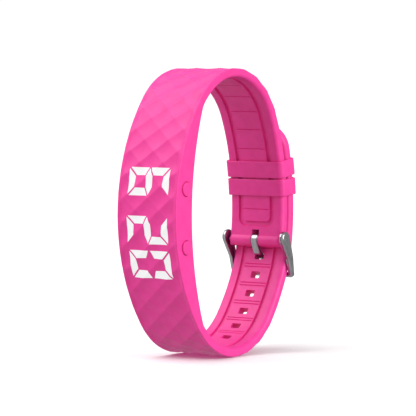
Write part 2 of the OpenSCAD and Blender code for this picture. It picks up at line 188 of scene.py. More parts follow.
def skin_distance(a):
    """Distance from the face's centre to the skin side, in direction a."""
    c, d = np.cos(np.radians(a)), skin_c[0] - face_c[0]
    return -d * c + np.sqrt(d * d * c * c + SKIN_R ** 2 - d * d)


def face_angle(radius, a):
    """Angle about the face's centre of a point at an angle about the skin side's centre."""
    return angle_of(skin_c + radius * outward(a) - face_c)


CASE_MID = 1.0                  # the case pocket's ends are set out this far outside the skin side
COVER_END_A = face_angle(SKIN_R, COVER_HALF_A)
CASE_END_A = face_angle(SKIN_R + CASE_MID, CASE_HALF_A)


# ---- section of the ring at each station ----
def thickness(s, arc, a):
    """Thickness of the ring, and how far its outer side is drawn in, for each station."""
    soft, thinnest_sq, past_sleeve = 0.12, 0.2, 1
    half_t = BAND_T / 2
    t = np.full(len(s), BAND_T)
    on_face = arc == FACE_ARC
    inner = smooth_min(np.full(on_face.sum(), FACE_R - BAND_T), skin_distance(a[on_face]), soft)
    t[on_face] = FACE_R - inner
    roll = np.sqrt(np.clip(SLEEVE_R ** 2 - (s - SLEEVE_S) ** 2, 1e-6, None))
    half = np.where(s < SLEEVE_S, roll, np.maximum(roll, half_t))
    near = s < SLEEVE_S * 2 + past_sleeve
    t[near] = 2 * half[near]
    draw = np.where(near, half_t - half, 0.0)
    tip = TOTAL - s
    past = np.clip(half_t - tip, 0, None)
    round_tip = half_t - np.sqrt(np.clip(half_t ** 2 - past ** 2, thinnest_sq, None))
    round_tip = np.where(tip < half_t, round_tip, 0)
    return t - 2 * round_tip, draw + round_tip


def half_width(s, y):
    """Half the width at each station, and the share of it that the tail's round tip leaves."""
    k = np.clip((y - TAPER_Y[0]) / (TAPER_Y[1] - TAPER_Y[0]), 0, 1)
    h = HALF_FACE + (HALF_STRAP - HALF_FACE) * k
    tip = np.clip(TIP_CORNER - (TOTAL - s), 0, TIP_CORNER)
    return h, (h - TIP_CORNER + np.sqrt(TIP_CORNER ** 2 - tip ** 2)) / h


def quilt(x, v):
    """Depth of the diamonds' hollows at x across and v along the face, in shares of full depth."""
    p = (x / DIAMOND_X + (v - DIAMOND_V0) / DIAMOND_V) / 2
    q = (x / DIAMOND_X - (v - DIAMOND_V0) / DIAMOND_V) / 2
    fp, fq = p - np.floor(p), q - np.floor(q)
    return 1 - (FALLING * (2 * fq - 1) ** 2 + RISING * (2 * fp - 1) ** 2)


# ---- tail holes, and the grooves and lines on the inside of the straps ----
PANELS = ((SLEEVE_S + 3.95, FACE_S - 1.5), (BOTTOM_S + 3.0, TOTAL - 7.5))   # start and stop of each
PANEL_HALF, PANEL_CORNER = 6.1, 2.6
GROOVE_W, GROOVE_DEPTH, GROOVE_WALL = 1.5, 0.6, 0.1
LINE_DEPTH, LINE_HALF_W = 0.24, 0.2
LINE_END = (4.3, 4.6)           # across, the lines run out between these
LINES_FROM, LINES_TO = 9.0, 6.0             # from the sleeve, and before the face
PAIR_HALF = 0.45                # half the distance between the two lines of a pair


def hole_places():
    """Distances along the ring of the tail's holes."""
    return [TOTAL - TANG_HOLE_S - (i - HOLES_ABOVE) * HOLE_PITCH for i in range(HOLE_COUNT)]


def cross_grooves():
    """Places of the fine lines across the inside of the straps: single ones, then pairs between holes."""
    single = list(np.arange(SLEEVE_S + LINES_FROM, FACE_S - LINES_TO, HOLE_PITCH))
    pairs = [h + HOLE_PITCH / 2 + d for h in hole_places() for d in (-PAIR_HALF, PAIR_HALF)]
    return single + pairs


def panel_depth(x, s):
    """Depth of the grooves that frame the panels on the inside of the two straps."""
    depth = np.zeros(np.broadcast(x, s).shape)
    for start, stop in PANELS:
        mid, reach = (start + stop) / 2, (stop - start) / 2
        qx = np.abs(x) - PANEL_HALF + PANEL_CORNER
        qs = np.abs(s - mid) - reach + PANEL_CORNER
        outside = np.hypot(np.maximum(qx, 0), np.maximum(qs, 0)) + np.minimum(np.maximum(qx, qs), 0)
        inside = PANEL_CORNER - outside
        depth += GROOVE_DEPTH * np.clip(np.minimum(inside, GROOVE_W - inside) / GROOVE_WALL, 0, 1)
    return depth


def line_depth(x, s):
    """Depth of the fine lines across the panels."""
    d = np.min(np.abs(s[..., None] - np.array(cross_grooves())), -1)
    across = 1 - smoothstep(np.abs(x), *LINE_END)
    return LINE_DEPTH * np.clip(1 - d / LINE_HALF_W, 0, 1) * across


# ---- the grid that the ring is drawn on: stations along it, columns round its section ----
QUILTED = (TOP_S - 12, TAIL_S + 8)          # the lattice's stations run between these
FADE_IN, FADE_OUT = (TOP_S - 12, TOP_S + 14), (TAIL_S - 14, TAIL_S + 6)      # of the hollows
CASE_BEGINS, CASE_ENDS = (TOP_S + 8, FACE_S - 2), (BOTTOM_S + 2, TAIL_S - 8)
PLAIN_STEP = 0.5
SLEEVE_STATIONS, TIP_STATIONS = 25, 22
WALL_HALF_A = 0.012             # half the angle that the steep end of a pocket takes up
CORNER_STEP, CORNER_REACH = 0.13, 3.2       # close stations where a panel's corners are
CLOSEST = 0.02                  # stations closer than this are merged
OUTER_K, INNER_K = 31, 27       # lattice columns to either side of the middle, on each face
NOTCH_K, HOLE_K = 4, 5          # column numbers of the notch's and the holes' sides
OUT_STEPS, SIDE_POINTS, IN_STEPS = 5, 7, 8  # round the outer corner, down the side, round the inner one
WALL_HALF_W = 0.005             # half the width that the steep side of a pocket takes up


def hole_stations():
    """Stations that a hole needs: its ends and where its round corners begin."""
    straight = HOLE_HALF_L - HOLE_ROUND
    return [h + d for h in hole_places() for d in (-HOLE_HALF_L, -straight, straight, HOLE_HALF_L)]


def station_places():
    """Distances along the ring where the section is drawn, fine where the shape needs it."""
    lattice = FACE_MID_S - DIAMOND_V0
    j0, j1 = math.ceil((QUILTED[0] - lattice) / STEP_V), math.floor((QUILTED[1] - lattice) / STEP_V)
    s = [lattice + j * STEP_V for j in range(j0, j1 + 1)]
    s += list(np.arange(s[0] - PLAIN_STEP, 0, -PLAIN_STEP))
    s += list(np.arange(max(s) + PLAIN_STEP, TOTAL - TIP_CORNER, PLAIN_STEP))
    s += list(SLEEVE_S * (1 - np.cos(np.linspace(0, np.pi, SLEEVE_STATIONS))))
    s += [NOTCH_S]
    s += list(TOTAL - TIP_CORNER * (1 - np.cos(np.linspace(0, np.pi / 2, TIP_STATIONS))))
    s += hole_stations() + hole_places()
    for a in (COVER_END_A, CASE_END_A):
        for side in (-1, 1):
            s += [FACE_MID_S - side * FACE_R * math.radians(a + d) for d in (-WALL_HALF_A, WALL_HALF_A)]
    for c in cross_grooves():
        s += [c + d * LINE_HALF_W for d in (-1, -0.5, 0, 0.5, 1)]
    near = np.arange(-GROOVE_WALL, CORNER_REACH, CORNER_STEP)
    for start, stop in PANELS:
        s += list(start + near) + list(stop - near)
    return merged(s)


def merged(s):
    """Sorted stations without the ones that nearly coincide; a hole's own stations stay."""
    places = 6
    exact = {round(h, places) for h in hole_stations()}
    s = np.unique(np.round(s, places))
    kept = [s[0]]
    for v in s[1:]:
        if v - kept[-1] > CLOSEST:
            kept.append(v)
        elif round(v, places) in exact:
            kept[-1] = v
    return np.array(kept)


def inner_columns():
    """Places across the inner face: the lattice's, and close ones where a line, groove or wall runs."""
    line_ends = [*np.arange(3.4, 4.5, 0.13), 4.5, 4.6, 4.7]
    groove = [*np.arange(4.8, 5.9, 0.15), PANEL_HALF - GROOVE_WALL, PANEL_HALF]
    walls = [w + d for w in (COVER_HALF_W, CASE_HALF_W) for d in (-WALL_HALF_W, WALL_HALF_W)]
    rim = [8.65, 8.8]
    close = line_ends + groove + walls + rim
    lattice = [k * STEP_X for k in range(-INNER_K, INNER_K + 1)]
    return np.array(sorted(set(lattice + [side * x for side in (-1, 1) for x in close])))


OUTER_X = np.array([k * STEP_X for k in range(-OUTER_K, OUTER_K + 1)])
INNER_X = inner_columns()
SIDE_COLS = OUT_STEPS - 1 + SIDE_POINTS + IN_STEPS - 1      # columns from one face to the other
COLS = len(OUTER_X) + len(INNER_X) + 2 * SIDE_COLS
OUTER_COL = {k: k + OUTER_K for k in range(-OUTER_K, OUTER_K + 1)}
INNER_COL = {k: len(OUTER_X) + SIDE_COLS + int(np.argmin(np.abs(INNER_X[::-1] - k * STEP_X)))
             for k in range(-INNER_K, INNER_K + 1)}


def spread(x, edge, flat):
    """Columns beyond the flat middle stretch or close up to end at the edge of the face."""
    size = np.abs(x)[None, :]
    moved = flat + (size - flat) * (edge[:, None] - flat) / (size.max() - flat)
    return np.sign(x)[None, :] * np.where(size > flat, moved, size)


def outer_depth(s, x, draw):
    """Depth of the outer face below the profile: the quilt, which fades towards the back strap and tail."""
    fade = smoothstep(s, *FADE_IN) * (1 - smoothstep(s, *FADE_OUT))
    edge_fade = EDGE_SHARE + (1 - EDGE_SHARE) * (1 - smoothstep(np.abs(x), *EDGE_FADE))
    return draw[:, None] + QUILT_DEPTH * fade[:, None] * edge_fade * quilt(x, (FACE_MID_S - s)[:, None])


def inner_depth(s, x, arc, a, deep):
    """Depth of the inner face below the profile: grooves and lines, cover recess and case pocket."""
    d = deep[:, None] - panel_depth(x, s[:, None]) - line_depth(x, s[:, None] + 0 * x)
    on_face = (arc == FACE_ARC)[:, None]
    cover = on_face & (np.abs(x) < COVER_HALF_W) & (np.abs(a)[:, None] < COVER_END_A)
    rim = FACE_R - (skin_distance(a) + COVER_T * (SKIN_R + skin_distance(a)) / (2 * SKIN_R))
    d = np.where(cover, rim[:, None], d)
    case = on_face & (np.abs(x) < CASE_HALF_W) & (np.abs(a)[:, None] < CASE_END_A)
    return np.where(case, CASE_DEPTH, d)


def rounding(s, t):
    """Radii of the outer and the inner corners: the inner ones are sharper beside the case."""
    round_out, round_in, sharper = 0.3, 1.35, 0.95
    out_share, in_share = 0.3, 0.45         # the most of the thickness that each may take
    at_case = smoothstep(s, *CASE_BEGINS) * (1 - smoothstep(s, *CASE_ENDS))
    return np.minimum(round_out, out_share * t), np.minimum(round_in - sharper * at_case, in_share * t)


def section_grid(s):
    """Place across the band and depth below the outer profile of every point of the grid."""
    o, _, arc, a = along(s)
    t, draw = thickness(s, arc, a)
    h, tip = half_width(s, o[:, 0])
    r_out, r_in = rounding(s, t)
    outer_flat, case_flat, strap_flat, narrowest = 8.3, 8.5, 6.3, 7.6     # half widths
    xo = spread(OUTER_X, h - r_out, outer_flat)
    edge_in = np.maximum(h - r_in, narrowest)
    xi = np.where(edge_in[:, None] > case_flat, spread(INNER_X, edge_in, case_flat),
                  spread(INNER_X, edge_in, strap_flat))
    do = outer_depth(s, xo, draw)
    di = inner_depth(s, xi, arc, a, draw + t)

    # one side: round the outer corner, down the flat, round the inner corner
    edge = (do[:, -1] - draw)[:, None]
    w = np.radians(np.arange(1, OUT_STEPS) * 90 / OUT_STEPS)[None, :]
    out_x = (h - r_out)[:, None] + r_out[:, None] * np.sin(w)
    out_d = draw[:, None] + edge + r_out[:, None] * (1 - np.cos(w))
    f = np.linspace(0, 1, SIDE_POINTS)[None, :]
    side_x = np.repeat(h[:, None], SIDE_POINTS, 1)
    side_d = f * (t - r_in - r_out)[:, None] + (draw + r_out)[:, None] + edge * f[:, ::-1]
    w = np.radians(np.arange(1, IN_STEPS) * 90 / IN_STEPS)[None, :]
    in_x = (h - r_in)[:, None] + r_in[:, None] * np.cos(w)
    in_d = (draw + t - r_in)[:, None] + r_in[:, None] * np.sin(w)
    side_x = np.concatenate([out_x, side_x, in_x], 1)
    side_d = np.concatenate([out_d, side_d, in_d], 1)
    x = np.concatenate([xo, side_x, xi[:, ::-1], -side_x[:, ::-1]], 1) * tip[:, None]
    return x, np.concatenate([do, side_d, di[:, ::-1], side_d[:, ::-1]], 1)


def hole_rows(s):
    """First and last row of the grid at each hole."""
    return [tuple(int(np.argmin(np.abs(s - h - d))) for d in (-HOLE_HALF_L, HOLE_HALF_L))
            for h in hole_places()]


def round_hole_corners(s, x, s_grid):
    """Draws the grid's points at the corners of the holes in, in place."""
    for first, last in hole_rows(s):
        for k in (-HOLE_K, HOLE_K):
            for col in (OUTER_COL[k], INNER_COL[k]):
                for row, sign in ((first, 1), (last, -1)):
                    x[row, col] -= np.sign(k) * ROUND_CUT
                    s_grid[row, col] += sign * ROUND_CUT


def vid(i, j):
    """Number of the grid's point in row i and column j, counted round the section."""
    return i * COLS + j % COLS


def band_faces(s):
    """The ring's faces: the grid without its holes and notch, their walls and the two ends."""
    holes = hole_rows(s)
    notch_row = int(np.argmin(np.abs(s - NOTCH_S)))
    open_cells = set()
    for first, last, half in [(*rows, HOLE_K) for rows in holes] + [(0, notch_row, NOTCH_K)]:
        for i in range(first, last):
            for k in range(-half, half):
                open_cells |= {(i, OUTER_COL[k]), (i, INNER_COL[k + 1])}
    faces = [(vid(i, j), vid(i, j + 1), vid(i + 1, j + 1), vid(i + 1, j))
             for i in range(len(s) - 1) for j in range(COLS) if (i, j) not in open_cells]
    for first, last in holes:
        faces += hole_walls(first, last, HOLE_K, (first, last))
    faces += hole_walls(0, notch_row, NOTCH_K, (notch_row,))
    right = range(OUTER_COL[NOTCH_K], INNER_COL[NOTCH_K] + 1)
    left = [*range(INNER_COL[-NOTCH_K], COLS), *range(OUTER_COL[-NOTCH_K] + 1)]
    faces += [tuple(vid(0, j) for j in half) for half in (right, left)]
    faces.append(tuple(vid(len(s) - 1, j) for j in range(COLS)))
    return faces


def hole_walls(first, last, k, ends):
    """Walls through the band round a block of open cells: the two sides, and the given end rows."""
    made = []
    for i in range(first, last):
        for side in (-k, k):
            o, n = OUTER_COL[side], INNER_COL[side]
            made.append((vid(i, o), vid(i + 1, o), vid(i + 1, n), vid(i, n)))
    for i in ends:
        for c in range(-k, k):
            made.append((vid(i, OUTER_COL[c]), vid(i, OUTER_COL[c + 1]), vid(i, INNER_COL[c + 1]),
                         vid(i, INNER_COL[c])))
    return made


# ---- meshes ----
def make_mesh(name, verts, faces, material, sharp=32):
    """An object from millimetre points; edges steeper than sharp degrees stay hard."""
    mesh = bpy.data.meshes.new(name)
    mesh.from_pydata([tuple(v) for v in np.asarray(verts) * MM], [], faces)
    mesh.validate()
    mesh.shade_smooth()
    mesh.set_sharp_from_angle(angle=math.radians(sharp))
    mesh.materials.append(material)
    obj = bpy.data.objects.new(name, mesh)
    bpy.context.scene.collection.objects.link(obj)
    return obj


def face_outwards(obj):
    """Turns every face of a closed mesh outwards."""
    bm = bmesh.new()
    bm.from_mesh(obj.data)
    bmesh.ops.recalc_face_normals(bm, faces=bm.faces)
    bm.to_mesh(obj.data)
    bm.free()


def finish_piece(obj, body, slot, *nodes):
    """Rides a piece on its body and takes the CAD nodes' place."""
    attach(obj, body)
    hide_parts(*nodes)


def ring_grid(rows, cols, close_rows, close_cols):
    """Quads over a grid of rows by cols points."""
    made = []
    for i in range(rows if close_rows else rows - 1):
        for j in range(cols if close_cols else cols - 1):
            i2, j2 = (i + 1) % rows, (j + 1) % cols
            made.append((i * cols + j, i * cols + j2, i2 * cols + j2, i2 * cols + j))
    return made


def capped_tube(rows, cols):
    """Faces of a tube of rows rings of cols points, with its two ends closed."""
    return ring_grid(rows, cols, False, True) + [tuple(range(cols)),
                                                 tuple((rows - 1) * cols + k for k in range(cols))]


def turned(profile, y, z, n=64):
    """Points and faces of a solid turned about a line across the band, from (x, radius) pairs."""
    verts = [np.array([x, y + q * math.cos(2 * math.pi * k / n), z + q * math.sin(2 * math.pi * k / n)])
             for x, q in profile for k in range(n)]
    return verts, capped_tube(len(profile), n)


BAND_SHARP = 38                 # degrees


def band_mesh(material):
    """The silicone ring as one closed surface: stations along the ring by columns round its section."""
    s = station_places()
    x, d = section_grid(s)
    s_grid = np.repeat(s[:, None], COLS, 1)
    round_hole_corners(s, x, s_grid)
    outer, out, _, _ = along(s_grid.ravel())
    verts = np.column_stack([x.ravel(), outer - out * d.ravel()[:, None]])
    obj = make_mesh("silicone_band", verts, band_faces(s), material, sharp=BAND_SHARP)
    face_outwards(obj)
    cut_button_seats(obj)
    return obj


def cut_button_seats(obj):
    """Cuts the round seats of the two buttons, with a softened rim, out of the band's side."""
    bottom, seat_r, rim_r, past = 8.9, 2.02, 2.2, 0.6
    profile = [(bottom, seat_r), (HALF_FACE - 0.16, seat_r), (HALF_FACE - 0.06, seat_r + 0.04),
               (HALF_FACE + 0.02, rim_r), (HALF_FACE + past, rim_r)]
    for z in BUTTON_Z:
        verts, faces = turned(profile, BUTTON_Y, z)
        cutter = make_mesh("cutter", verts, faces, obj.data.materials[0])
        face_outwards(cutter)
        cut = obj.modifiers.new("seat", "BOOLEAN")
        cut.operation, cut.solver, cut.object = "DIFFERENCE", "EXACT", cutter
        done = bpy.data.meshes.new_from_object(obj.evaluated_get(bpy.context.evaluated_depsgraph_get()))
        obj.modifiers.clear()
        obj.data = done
        bpy.data.objects.remove(cutter)
    obj.data.shade_smooth()
    obj.data.set_sharp_from_angle(angle=math.radians(BAND_SHARP))


# ---- keepers ----
def rounded_loop(half_a, half_b, r, steps):
    """Points and outward directions round a rectangle with round corners."""
    longest = 0.8
    points, normals = [], []
    for n, (ca, cb) in enumerate(((1, 1), (-1, 1), (-1, -1), (1, -1))):
        for k in range(steps + 1):
            w = math.radians(90 * (n + k / steps))
            d = np.array([math.cos(w), math.sin(w)])
            points.append(np.array([ca * (half_a - r), cb * (half_b - r)]) + r * d)
            normals.append(d)
    return dense_loop(np.array(points), np.array(normals), longest)


def dense_loop(points, normals, step):
    """Adds points along the straight stretches of a closed loop."""
    p_out, n_out = [], []
    for k in range(len(points)):
        p, q = points[k], points[(k + 1) % len(points)]
        n, m = normals[k], normals[(k + 1) % len(points)]
        parts = max(1, int(np.linalg.norm(q - p) / step))
        for i in range(parts):
            f = i / parts
            p_out.append(p + (q - p) * f)
            n_out.append(n + (m - n) * f)
    n_out = np.array(n_out)
    return np.array(p_out), n_out / np.linalg.norm(n_out, axis=1)[:, None]


def keeper(name, middle_a, body, node, material):
    """A moulded loop round both straps: its wall's rounded section carried round the loop."""
    length, wall, corner, edge, gap, slack = 4.7, 0.6, 1.5, 0.22, 0.12, 0.5
    low, high = BACK_R - BAND_T - gap - wall, tail_out_r + slack + wall
    half_w = HALF_STRAP + gap + wall
    loop, normal = rounded_loop(half_w, (high - low) / 2, corner, 10)
    section, _ = rounded_loop(wall / 2, length / 2, edge, 4)
    verts = []
    for p, n in zip(loop, normal):
        for depth, run in section:
            x, r = p - n * (wall / 2 - depth)
            r += (low + high) / 2
            a = -180 - middle_a + math.degrees(run / r)
            verts.append(np.append(x, back_c + r * outward(a)))
    obj = make_mesh(name, verts, ring_grid(len(loop), len(section), True, True), material)
    face_outwards(obj)
    finish_piece(obj, body, "silicone", node)


# ---- buckle: two arms, a crossbar and the tang ----
ARM_CIRCLES = (((21.65, -8.3), 2.1), ((24.1, -13.7), 1.25), ((25.05, -18.4), 0.85))    # head, waist, foot
ARM_X = 9.4                     # the arms' inner faces
# distance from the inner face, and how far the outline is drawn in there
ARM_LEVELS = ((0, 0.12), (0.1, 0.02), (0.25, 0), (0.7, 0), (0.95, 0.1), (1.12, 0.27), (1.25, 0.5))
CROSSBAR, CROSSBAR_R, CROSSBAR_SUNK = (25.2, -18.6), 0.8, 0.3
TANG_W, TANG_T, TANG_CURL_R, TANG_EDGE = 2.1, 0.86, 1.5, 0.2
TANG_BENDS = ((0.05, -3.7), (3.65, -5.55))  # from the bar: where it turns to the hole, and leaves it
TANG_TIP = (26.5, -18.8)


def polygon_normals(loop):
    """Outward directions at the corners of an outline."""
    ahead, behind = np.roll(loop, -1, 0), np.roll(loop, 1, 0)
    e1 = (loop - behind) / np.linalg.norm(loop - behind, axis=1)[:, None]
    e2 = (ahead - loop) / np.linalg.norm(ahead - loop, axis=1)[:, None]
    t = e1 + e2
    t /= np.linalg.norm(t, axis=1)[:, None]
    n = np.column_stack([t[:, 1], -t[:, 0]])
    area = np.sum(loop[:, 0] * ahead[:, 1] - ahead[:, 0] * loop[:, 1])
    return n if area > 0 else -n


def plate(loop, levels):
    """A plate across X from a (Y, Z) outline: levels are (x, inset) from one face to the other."""
    n = polygon_normals(loop)
    verts = [np.append(x, p - m * inset) for x, inset in levels for p, m in zip(loop, n)]
    return verts, capped_tube(len(levels), len(loop))


def cap_arc(c, r, ahead, steps=12):
    """Half circle that closes an outline, from the left of the direction ahead to its right."""
    left = np.array([ahead[1], -ahead[0]])
    w = np.linspace(0, np.pi, steps + 2)[1:-1]
    return np.array([c + r * (math.cos(k) * left + math.sin(k) * ahead) for k in w])


def arm_outline(steps=40, rounds=4):
    """Outline of a buckle arm: round head on the bar, bulged back, narrow foot at the crossbar."""
    centres = np.array([c for c, _ in ARM_CIRCLES])
    radii = np.array([r for _, r in ARM_CIRCLES])
    f = np.linspace(0, len(radii) - 1, steps + 1)
    k = np.minimum(f.astype(int), len(radii) - 2)
    w = (f - k)[:, None]
    spine = centres[k] * (1 - w) + centres[k + 1] * w
    size = radii[k] * (1 - w[:, 0]) + radii[k + 1] * w[:, 0]
    run = np.gradient(spine, axis=0)
    for _ in range(rounds):
        run[1:-1] = (run[:-2] + run[1:-1] + run[2:]) / 3
    run /= np.linalg.norm(run, axis=1)[:, None]
    across = size[:, None] * np.column_stack([run[:, 1], -run[:, 0]])
    foot = cap_arc(spine[-1], size[-1], run[-1])
    head = cap_arc(spine[0], size[0], -run[0])
    return np.vstack([spine + across, foot, (spine - across)[::-1], head])


def crossbar(sides=24, stations=25):
    """A round bar between the two arms."""
    reach = ARM_X + CROSSBAR_SUNK
    return turned([(x, CROSSBAR_R) for x in np.linspace(-reach, reach, stations)], *CROSSBAR, sides)


def buckle_frame(material):
    """Two bevelled arms and a round crossbar."""
    loop = arm_outline()
    verts, faces = [], []
    arms = [plate(loop, [(side * (ARM_X + x), inset) for x, inset in ARM_LEVELS]) for side in (-1, 1)]
    for v, f in arms + [crossbar()]:
        faces += [tuple(k + len(verts) for k in face) for face in f]
        verts += v
    obj = make_mesh("buckle_frame_steel", verts, faces, material, sharp=30)
    face_outwards(obj)
    finish_piece(obj, "buckle", "buckle_steel", "buckle_frame")


def distances(path):
    """Distance along a path of each of its points."""
    return np.concatenate([[0], np.cumsum(np.linalg.norm(np.diff(path, axis=0), axis=1))])


def bent_path(points, bend, step=0.25):
    """A path through corner points with each inner corner rounded, evenly resampled."""
    path = [points[0]]
    for a, b, c in zip(points, points[1:], points[2:]):
        u, w = (a - b) / np.linalg.norm(a - b), (c - b) / np.linalg.norm(c - b)
        for f in np.linspace(0, 1, 7):
            path.append(b + u * bend * (1 - f) ** 2 + w * bend * f ** 2)
    path.append(points[-1])
    path = np.array(path)
    run = distances(path)
    at = np.linspace(0, run[-1], max(2, int(run[-1] / step)))
    return np.column_stack([np.interp(at, run, path[:, i]) for i in (0, 1)])


def tang(material):
    """The tang: a steel strip curled round the bar, bent through the hole on to the crossbar."""
    bend = 0.3
    tip_w, round_l, tip_t, thin_l = 0.62, 1.1, 0.75, 0.6    # shares at the tip, lengths of the taper
    turns = np.radians(np.arange(-20, 200, 8))
    curl = BAR + TANG_CURL_R * np.column_stack([np.cos(turns), np.sin(turns)])
    corners = [curl[-1], *(BAR + b for b in TANG_BENDS), np.array(TANG_TIP)]
    path = np.vstack([curl[:-1], bent_path(corners, bend)])
    run = np.gradient(path, axis=0)
    run /= np.linalg.norm(run, axis=1)[:, None]
    normal = np.column_stack([run[:, 1], -run[:, 0]])
    section, _ = rounded_loop(TANG_W / 2, TANG_T / 2, TANG_EDGE, 3)
    walked = distances(path)
    verts = []
    for p, n, rest in zip(path, normal, walked[-1] - walked):
        narrow = tip_w + (1 - tip_w) * math.sqrt(max(0.0, 1 - max(0.0, 1 - rest / round_l) ** 2))
        thin = tip_t + (1 - tip_t) * min(1, rest / thin_l)
        verts += [np.append(x * narrow, p + n * d * thin) for x, d in section]
    obj = make_mesh("tang_steel", verts, capped_tube(len(path), len(section)), material, sharp=40)
    face_outwards(obj)
    finish_piece(obj, "tang", "buckle_steel", "buckle_tang")


# ---- buttons and digits ----
def button_cap(name, z, body, node, material):
    """A softly rimmed silicone cap, a little hollow in its middle, that stands out of the band's side."""
    r, out, skirt = BUTTON_R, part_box(node)[1].x / MM, 1.0
    rim = [(out - 0.16, r), (out - 0.07, r - 0.04), (out - 0.02, r - 0.11), (out, r - 0.22)]
    middle = [(out, r * 0.7), (out - 0.03, r * 0.4), (out - 0.04, r * 0.15)]
    verts, faces = turned([(out - skirt, r)] + rim + middle, BUTTON_Y, z)
    obj = make_mesh(name, verts, faces, material)
    face_outwards(obj)
    finish_piece(obj, body, "silicone_button", node)


def segment_corners():
    """Rows of each lit segment: pairs of (X, Z) ends from its outer side to its inner side."""
    half, side, w, g = DIGIT_W / 2, DIGIT_H / 4, SEGMENT_W, SEGMENT_GAP
    end, middle, top = half - g, half - g * 0.6, DIGIT_H / 2
    reach = side - g
    # Letters name the segments of a digit that lies on its side: its top is at +X, its right is down.
    rows = {
        "a": [((top, -end), (top, end)), ((top - w, w - end), (top - w, end - w))],
        "d": [((-top, -end), (-top, end)), ((w - top, w - end), (w - top, end - w))],
        "g": [((-w / 2, w - middle), (-w / 2, middle - w)), ((0, -middle), (0, middle)),
              ((w / 2, w - middle), (w / 2, middle - w))],
    }
    for name, x_side, z_side in (("b", 1, -1), ("c", -1, -1), ("e", -1, 1), ("f", 1, 1)):
        x0 = x_side * side
        rows[name] = [((x0 - x_side * reach, z_side * half), (x0 + x_side * reach, z_side * half)),
                      ((x0 - x_side * (reach - w / 2), z_side * (half - w)),
                       (x0 + x_side * (reach - w), z_side * (half - w)))]
    return rows


def on_face(x, z, lift):
    """Points of the quilted face at x across and height z, lifted out of it."""
    a = np.degrees(np.arcsin(z / FACE_R))
    depth = QUILT_DEPTH * quilt(x, FACE_R * np.radians(a))
    return np.column_stack([x, face_c + (FACE_R - depth + lift)[:, None] * outward(a)])


def segment_grid(rows, long_steps=30, short_steps=10):
    """Grid of (X, Z) points over a segment: from its outer side to its inner one, end to end."""
    grid = []
    for (p, q), (p2, q2) in zip(rows, rows[1:]):
        for f in np.linspace(0, 1, short_steps + 1)[(1 if grid else 0):]:
            a = np.array(p) * (1 - f) + np.array(p2) * f
            b = np.array(q) * (1 - f) + np.array(q2) * f
            grid.append([a + (b - a) * k / long_steps for k in range(long_steps + 1)])
    return np.array(grid)


def sheet_faces(n, m):
    """Faces of a thin closed plate: two grids of n by m points, one after the other, and the edge."""
    flat = ring_grid(n, m, False, False)
    rim = [*range(m), *(i * m + m - 1 for i in range(1, n))]
    rim += [*((n - 1) * m + k for k in range(m - 2, -1, -1)), *(i * m for i in range(n - 2, 0, -1))]
    back = [tuple(k + n * m for k in face[::-1]) for face in flat]
    return flat + back + [(a, b, b + n * m, a + n * m) for a, b in zip(rim, rim[1:] + rim[:1])]


def lit_digits(material):
    """The lit segments of the three digits: thin plates that follow the quilted face."""
    verts, faces = [], []
    rows = segment_corners()
    for letters, height in LIT:
        for letter in letters:
            grid = segment_grid(rows[letter])
            x, z = grid[..., 0].ravel(), grid[..., 1].ravel() + height
            faces += [tuple(k + len(verts) for k in face) for face in sheet_faces(*grid.shape[:2])]
            verts += [*on_face(x, z, LIT_RISE), *on_face(x, z, LIT_SINK)]
    obj = make_mesh("lit_digits", verts, faces, material, sharp=40)
    face_outwards(obj)
    finish_piece(obj, "band_assembly", "lit_segment", "display_segments")


# ---- materials ----
def linear(rgb):
    """sRGB 0..255 to linear colour."""
    c = np.array(rgb, float) / 255
    return tuple(np.where(c <= 0.04045, c / 12.92, ((c + 0.055) / 1.055) ** 2.4)) + (1.0,)


def surface(name, colour, shade, roughness, grain, bump, metallic=0.0, stretch=(1, 1, 1)):
    """A procedural finish: mottled colour, uneven roughness and a fine relief.
    grain is the size of the pattern in metres; shade is the darker colour it drifts to."""
    mottle_size, uneven, relief_height = 12, 0.15, 0.2      # patches in grains, share, share of a grain
    m = bpy.data.materials.new(name)
    m.use_nodes = True
    nt = m.node_tree
    shader = nt.nodes["Principled BSDF"]
    coords = nt.nodes.new("ShaderNodeTexCoord")
    mapping = nt.nodes.new("ShaderNodeMapping")
    mapping.inputs["Scale"].default_value = stretch
    nt.links.new(coords.outputs["Object"], mapping.inputs["Vector"])
    slow, fine = nt.nodes.new("ShaderNodeTexNoise"), nt.nodes.new("ShaderNodeTexNoise")
    slow.inputs["Scale"].default_value = 1 / (grain * mottle_size)
    fine.inputs["Scale"].default_value = 1 / grain
    fine.inputs["Detail"].default_value = 4
    for tex in (slow, fine):
        nt.links.new(mapping.outputs["Vector"], tex.inputs["Vector"])
    ramp = nt.nodes.new("ShaderNodeValToRGB")
    for element, position, rgb in zip(ramp.color_ramp.elements, (0.35, 0.7), (shade, colour)):
        element.position, element.color = position, linear(rgb)
    nt.links.new(slow.outputs["Fac"], ramp.inputs["Fac"])
    nt.links.new(ramp.outputs["Color"], shader.inputs["Base Color"])
    rough = nt.nodes.new("ShaderNodeMapRange")
    rough.inputs["To Min"].default_value = roughness * (1 - uneven)
    rough.inputs["To Max"].default_value = roughness * (1 + uneven)
    nt.links.new(fine.outputs["Fac"], rough.inputs["Value"])
    nt.links.new(rough.outputs["Result"], shader.inputs["Roughness"])
    relief = nt.nodes.new("ShaderNodeBump")
    relief.inputs["Distance"].default_value = grain * relief_height
    relief.inputs["Strength"].default_value = bump
    nt.links.new(fine.outputs["Fac"], relief.inputs["Height"])
    nt.links.new(relief.outputs["Normal"], shader.inputs["Normal"])
    shader.inputs["Metallic"].default_value = metallic
    return m


def silicone():
    m = surface("silicone_pink", (238, 58, 154), (232, 52, 147), 0.5, 0.00022, 0.06)
    shader = m.node_tree.nodes["Principled BSDF"]
    shader.inputs["Subsurface Weight"].default_value = 0.12
    shader.inputs["Subsurface Radius"].default_value = (1.0, 0.25, 0.5)
    shader.inputs["Subsurface Scale"].default_value = 0.0012
    shader.inputs["Specular IOR Level"].default_value = 0.42
    return m


